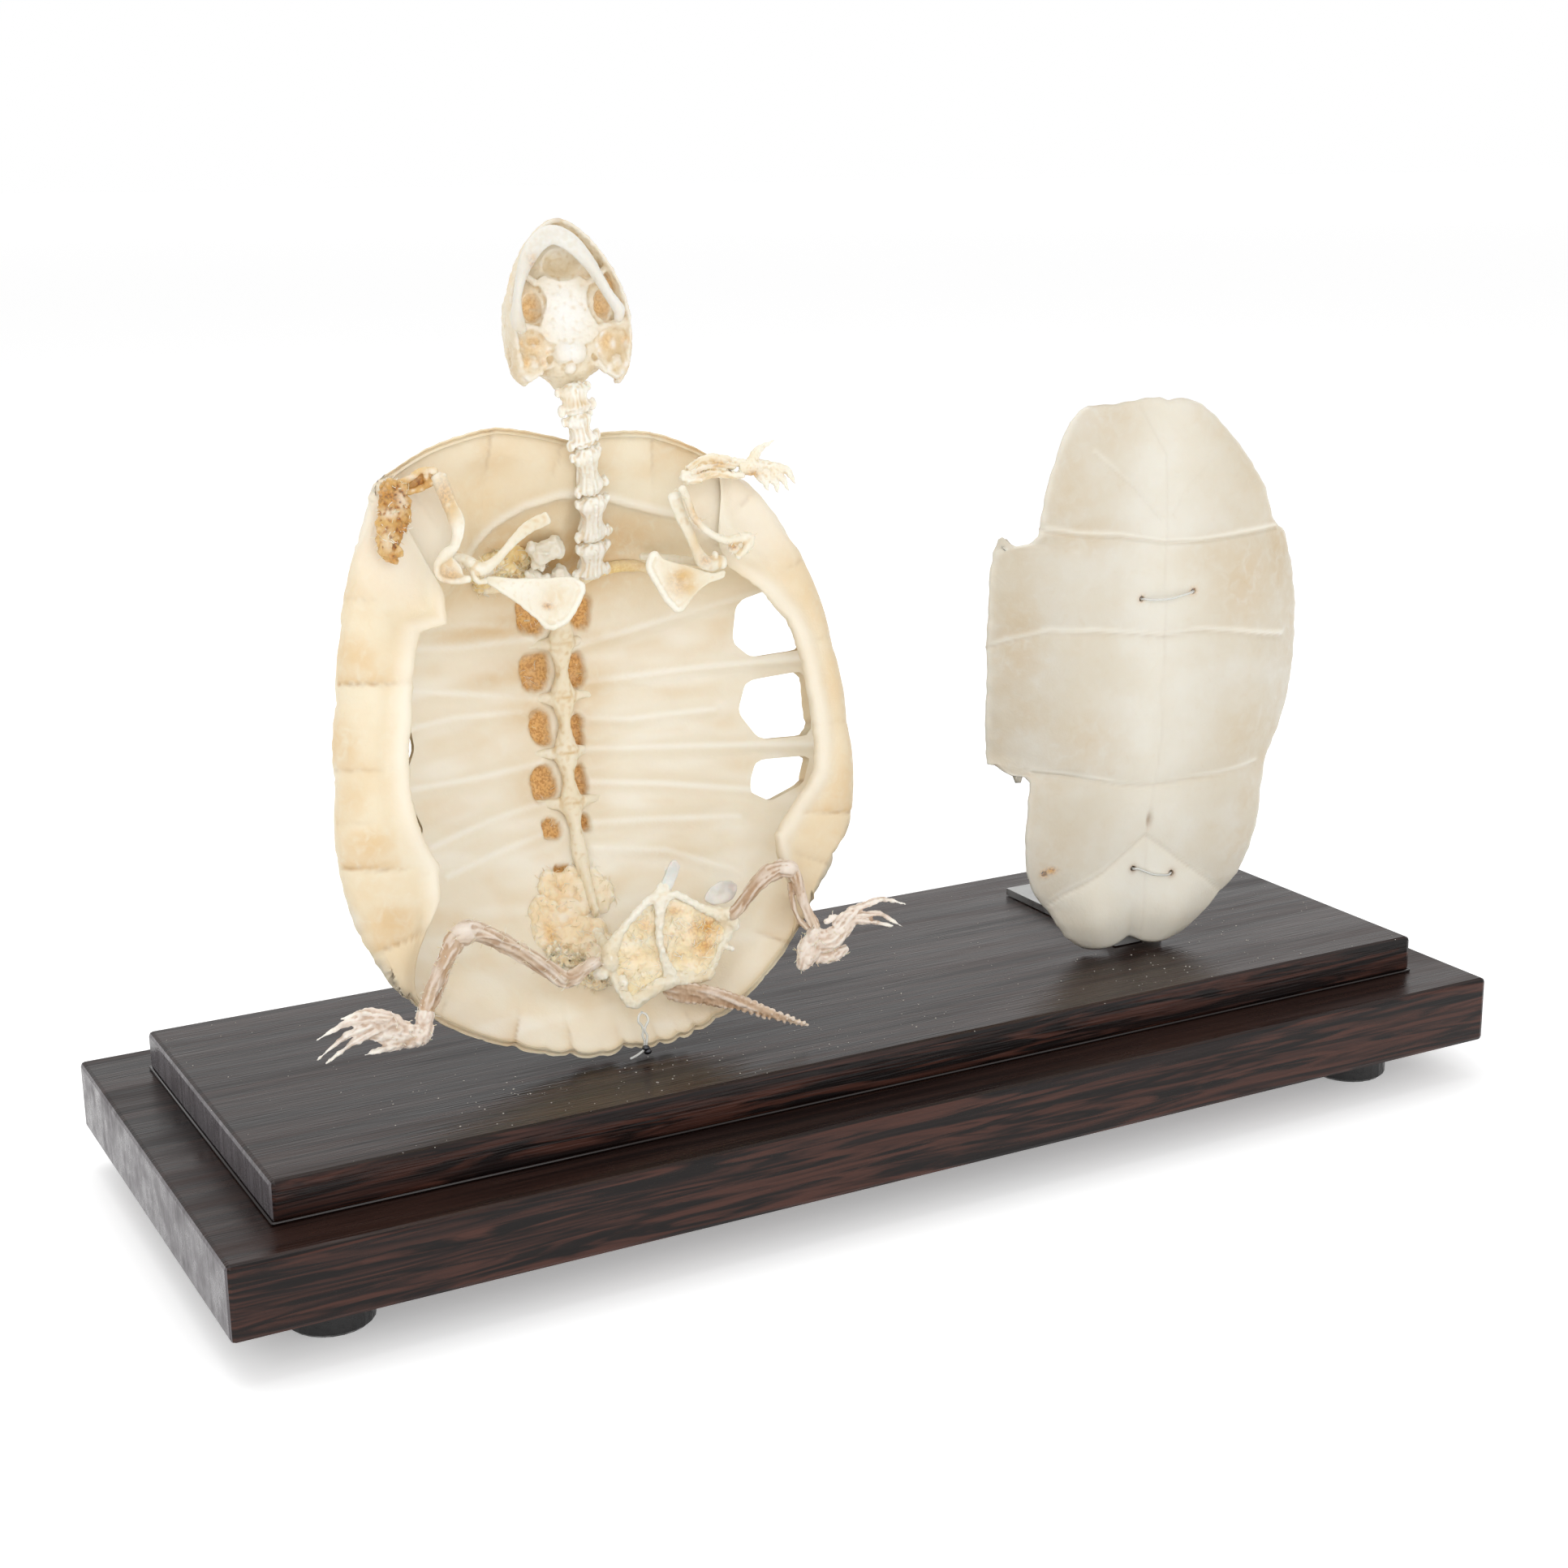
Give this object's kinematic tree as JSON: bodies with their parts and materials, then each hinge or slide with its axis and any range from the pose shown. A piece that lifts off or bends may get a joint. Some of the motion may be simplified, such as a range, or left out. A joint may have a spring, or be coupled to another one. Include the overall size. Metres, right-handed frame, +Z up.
{
  "type": "turtle skeleton",
  "caption": "Mounted turtle skeleton: upright opened shell with skull, neck, limbs and tail, and its belly plate standing beside it, on a stepped dark wooden stand.",
  "frame": {"origin": "on the floor under the middle of the wooden stand", "axes": "+X along the stand's length towards the belly plate, +Y away from the side the shell's hollow faces, +Z up"},
  "size_m": [0.36, 0.138, 0.2436],
  "materials": {
    "stand_wood": "dark stained wood, lacquered to a soft shine",
    "board_wood": "dark stained wood, glossy lacquer",
    "foot_rubber": "black rubber",
    "shell_bone": "cleaned ivory bone with tan stains, satin",
    "plate_bone": "cleaned ivory bone, satin",
    "wire": "clear nylon line",
    "bracket_steel": "plain zinc-grey steel strip",
    "screw_steel": "plain steel",
    "skull_bone": "cleaned bone with tan dried skin",
    "jaw_bone": "white bone",
    "neck_bone": "white bone with dried sinew",
    "girdle_bone": "white bone with cartilage edges",
    "dried_bone": "bone under orange-brown dried tissue",
    "dried_tissue": "orange-brown dried tissue",
    "hand_bone": "small bones under pale dried skin",
    "pelvis_bone": "white bone with amber membrane",
    "limb_bone": "pinkish bone with dried skin",
    "foot_bone": "dried skin over bone, pale claws"
  },
  "bodies": {
    "root": {"base_slab": "stand_wood", "top_board": "board_wood", "rubber_foot_1": "foot_rubber", "rubber_foot_2": "foot_rubber", "rubber_foot_3": "foot_rubber", "rubber_foot_4": "foot_rubber", "carapace": "shell_bone", "plastron": "plate_bone", "tie_wire_upper": "wire", "tie_wire_lower": "wire", "mount_wire": "wire", "bracket": "bracket_steel", "bracket_screw": "screw_steel", "skull": "skull_bone", "mandible": "jaw_bone", "neck_1": "neck_bone", "neck_2": "neck_bone", "neck_3": "neck_bone", "neck_4": "neck_bone", "neck_5": "neck_bone", "neck_6": "neck_bone", "neck_7": "neck_bone", "neck_8": "neck_bone", "scapula_left": "girdle_bone", "coracoid_left": "girdle_bone", "scapula_right": "girdle_bone", "coracoid_right": "girdle_bone", "humerus_right": "girdle_bone", "humerus_left": "dried_bone", "forearm_left": "dried_tissue", "hand_left": "dried_tissue", "forearm_right": "dried_tissue", "hand_right": "hand_bone", "pelvis": "pelvis_bone", "femur_left": "limb_bone", "lower_leg_left": "limb_bone", "femur_right": "limb_bone", "lower_leg_right": "limb_bone", "tail": "limb_bone", "foot_left": "foot_bone", "foot_right": "foot_bone"}
  },
  "joints": []
}
